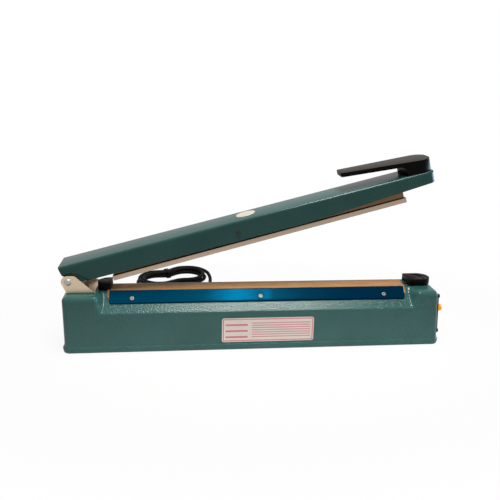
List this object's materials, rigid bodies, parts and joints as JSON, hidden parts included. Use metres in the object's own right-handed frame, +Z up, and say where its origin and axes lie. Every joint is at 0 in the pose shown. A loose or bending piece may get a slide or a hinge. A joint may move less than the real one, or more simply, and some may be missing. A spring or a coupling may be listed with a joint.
{
  "type": "hand impulse heat sealer",
  "caption": "Bench heat sealer for plastic bags: a long steel base with a taped heating line and timer, and a hinged arm with a pressure bar and pull handle.",
  "frame": {"origin": "on the table under the middle of the object's bounding box, without the mains lead", "axes": "+X from the hinge end to the control end, +Y to the back, +Z up"},
  "size_m": [0.5486, 0.3387, 0.269],
  "materials": {
    "teal_paint": "glossy hammertone enamel",
    "black_plastic": "fine-grained moulding",
    "zinc_steel": "zinc plated",
    "bracket_steel": "pale plated sheet",
    "spring_steel": "oiled wire",
    "foot_rubber": "matt",
    "bed_board": "insulating board",
    "ribbon_alloy": "rolled ribbon",
    "brass": "plain",
    "tape_cloth": "coated glass cloth",
    "blue_film": "protective blue film on metal",
    "amber_lens": "clear coloured",
    "white_plastic": "plain",
    "grey_plastic": "plain",
    "board_green": "circuit board",
    "core_iron": "laminated steel",
    "coil_copper": "enamelled copper winding",
    "cord_black": "smooth sheath",
    "bar_aluminium": "extruded, plain",
    "silicone": "matt"
  },
  "bodies": {
    "base": {"base_housing": "teal_paint", "bottom_plate": "zinc_steel", "bottom_screws": "zinc_steel", "rubber_feet": "foot_rubber", "hinge_bracket": "bracket_steel", "bracket_screws": "zinc_steel", "hinge_pin": "zinc_steel", "pin_clip": "zinc_steel", "return_spring": "spring_steel", "element_bed": "bed_board", "heating_element": "ribbon_alloy", "element_terminals": "brass", "terminal_screws": "zinc_steel", "sealing_tape": "tape_cloth", "clamp_strip": "blue_film", "strip_screws": "zinc_steel", "hinge_end_cover": "black_plastic", "control_end_cover": "black_plastic", "cover_screws": "zinc_steel", "end_panel": "black_plastic", "panel_screws": "zinc_steel", "lamp_lens": "amber_lens", "lamp_holder": "white_plastic", "timer_pot": "grey_plastic", "timer_nut": "zinc_steel", "timer_board": "board_green", "board_posts": "zinc_steel", "board_parts": "grey_plastic", "transformer_core": "core_iron", "transformer_coil": "coil_copper", "transformer_frame": "zinc_steel", "transformer_screws": "zinc_steel", "switch_bracket": "zinc_steel", "switch_body": "black_plastic", "plunger_guide": "brass", "cord_gland": "cord_black", "cord_lead": "cord_black", "cord_hank": "cord_black", "cord_tie": "cord_black", "cord_tail": "cord_black", "plug_body": "cord_black", "plug_pins": "brass"},
    "arm": {"press_arm": "teal_paint", "handle": "black_plastic", "handle_screws": "zinc_steel", "bar_pin": "zinc_steel", "bar_spacers": "zinc_steel", "switch_tab": "zinc_steel", "switch_screw": "zinc_steel"},
    "bar": {"pressure_bar": "bar_aluminium", "silicone_strip": "silicone"},
    "plunger": {"switch_plunger": "white_plastic"},
    "knob": {"timer_shaft": "zinc_steel", "timer_knob": "black_plastic"}
  },
  "joints": [
    {"name": "arm_hinge", "type": "hinge", "parent": "base", "child": "arm", "pos_m": [-0.26243, 0, 0.098], "axis": [0, -1, 0], "range_deg": [-13.75, 0], "stiffness_Nm_per_rad": 3, "springref_deg": 68.75, "deforming": ["return_spring"]},
    {"name": "bar_rock", "type": "hinge", "parent": "arm", "child": "bar", "pos_m": [-0.03207, 0, 0.16469], "axis": [0, -1, 0], "range_deg": [-1.4, 0]},
    {"name": "plunger_slide", "type": "slide", "parent": "base", "child": "plunger", "axis": [0, 0, 1], "range_m": [-0.0045, 0]},
    {"name": "timer_turn", "type": "hinge", "parent": "base", "child": "knob", "pos_m": [0.27361, 0.01, 0.04903], "axis": [0.9979, 0, 0.0645], "range_deg": [-140, 140]}
  ],
  "couplings": [
    {"joint": "bar_rock", "follows": "arm_hinge", "ratio": 0.10027},
    {"joint": "plunger_slide", "follows": "arm_hinge", "m_per_rad": 0.018114}
  ]
}
